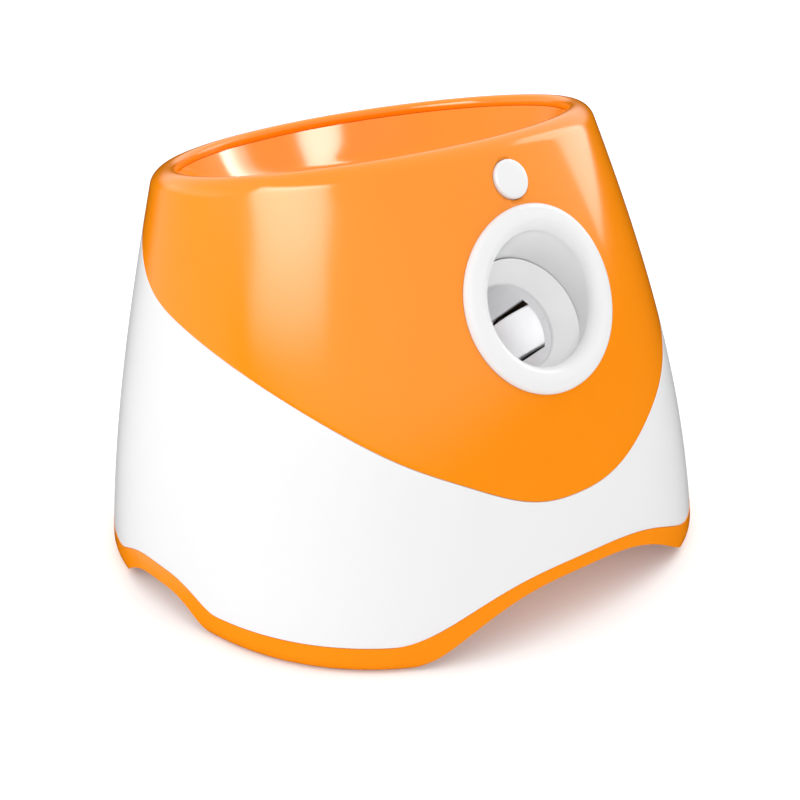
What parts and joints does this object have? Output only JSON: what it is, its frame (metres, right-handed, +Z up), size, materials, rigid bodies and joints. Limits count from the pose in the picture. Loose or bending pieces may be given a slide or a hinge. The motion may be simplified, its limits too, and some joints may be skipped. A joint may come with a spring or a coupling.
{
  "type": "automatic dog ball launcher",
  "caption": "Free-standing ball launcher for dogs with an open hopper on top, a gated feed chute and a front port, thrown by two powered wheels.",
  "frame": {"origin": "on the floor, under the middle of the overall box", "axes": "+Z up, -Y the way the balls are thrown (front port), +X to the right when seen from behind"},
  "size_m": [0.34, 0.3047, 0.2572],
  "materials": {
    "orange_gloss": "glossy injection-moulded",
    "white_gloss": "glossy injection-moulded",
    "white_inner": "moulded",
    "wheel_white": "smooth",
    "hub_grey": "moulded",
    "grey_plastic": "moulded",
    "orange_satin": "moulded",
    "gear_white": "moulded",
    "gear_black": "moulded",
    "rubber_grey": "matte",
    "steel": "satin",
    "motor_can": "plated",
    "motor_black": "moulded",
    "circuit_green": "lacquered",
    "chip_black": "moulded",
    "capacitor_blue": "sleeved",
    "relay_blue": "moulded",
    "brass": "plated",
    "cell_wrap": "printed sleeve, plain"
  },
  "bodies": {
    "casing": {"barrel_screws": "steel", "base_tray": "orange_gloss", "battery_box": "grey_plastic", "battery_cell_1": "cell_wrap", "battery_cell_2": "cell_wrap", "battery_cell_3": "cell_wrap", "battery_cell_4": "cell_wrap", "battery_cell_5": "cell_wrap", "battery_cell_6": "cell_wrap", "battery_contacts": "brass", "battery_door": "orange_gloss", "board_capacitors": "capacitor_blue", "board_chips": "chip_black", "board_connectors": "gear_white", "board_relays": "relay_blue", "board_screws": "steel", "bracket_screws": "steel", "button_board": "circuit_green", "button_screws": "steel", "button_spring": "steel", "button_switch": "motor_black", "casing_screws": "steel", "control_board": "circuit_green", "dc_socket": "motor_black", "dc_socket_nut": "steel", "feed_chute": "white_inner", "foot_pads": "rubber_grey", "frame_screws": "steel", "gate_bracket": "grey_plastic", "gate_motor": "motor_can", "hopper_funnel": "orange_gloss", "launch_frame": "grey_plastic", "left_motor": "motor_can", "left_motor_cap": "motor_black", "lower_shell": "white_gloss", "motor_screws": "steel", "muzzle": "white_gloss", "port_bezel": "white_gloss", "right_motor": "motor_can", "right_motor_cap": "motor_black", "sensor_emitter": "motor_black", "sensor_receiver": "motor_black", "upper_shell": "orange_gloss"},
    "left_wheel": {"left_wheel_tyre": "wheel_white", "left_wheel_hub": "hub_grey", "left_motor_shaft": "steel"},
    "right_wheel": {"right_wheel_tyre": "wheel_white", "right_wheel_hub": "hub_grey", "right_motor_shaft": "steel"},
    "gate": {"gate_arm": "orange_satin", "gate_shaft": "steel", "gate_gear": "gear_white"},
    "gate_pinion": {"gate_pinion": "gear_black"},
    "button": {"button_cap": "white_gloss"}
  },
  "joints": [
    {"name": "left_wheel_spin", "type": "hinge", "parent": "casing", "child": "left_wheel", "pos_m": [-0.052, -0.06683, 0.13528], "axis": [0, 0.6428, 0.766], "continuous": true},
    {"name": "right_wheel_spin", "type": "hinge", "parent": "casing", "child": "right_wheel", "pos_m": [0.052, -0.06683, 0.13528], "axis": [0, 0.6428, 0.766], "continuous": true},
    {"name": "gate_swing", "type": "hinge", "parent": "casing", "child": "gate", "pos_m": [0, 0.00739, 0.10851], "axis": [1, 0, 0], "range_deg": [0, 75]},
    {"name": "gate_pinion_spin", "type": "hinge", "parent": "casing", "child": "gate_pinion", "pos_m": [0.035, 0.02659, 0.09411], "axis": [1, 0, 0], "range_deg": [-230, 5]},
    {"name": "button_press", "type": "slide", "parent": "casing", "child": "button", "axis": [0, 0.866, -0.5], "range_m": [0, 0.0015], "stiffness_N_per_m": 400, "springref_m": -0.0006, "deforming": ["button_spring"]}
  ],
  "couplings": [
    {"joint": "gate_pinion_spin", "follows": "gate_swing", "ratio": -3}
  ]
}
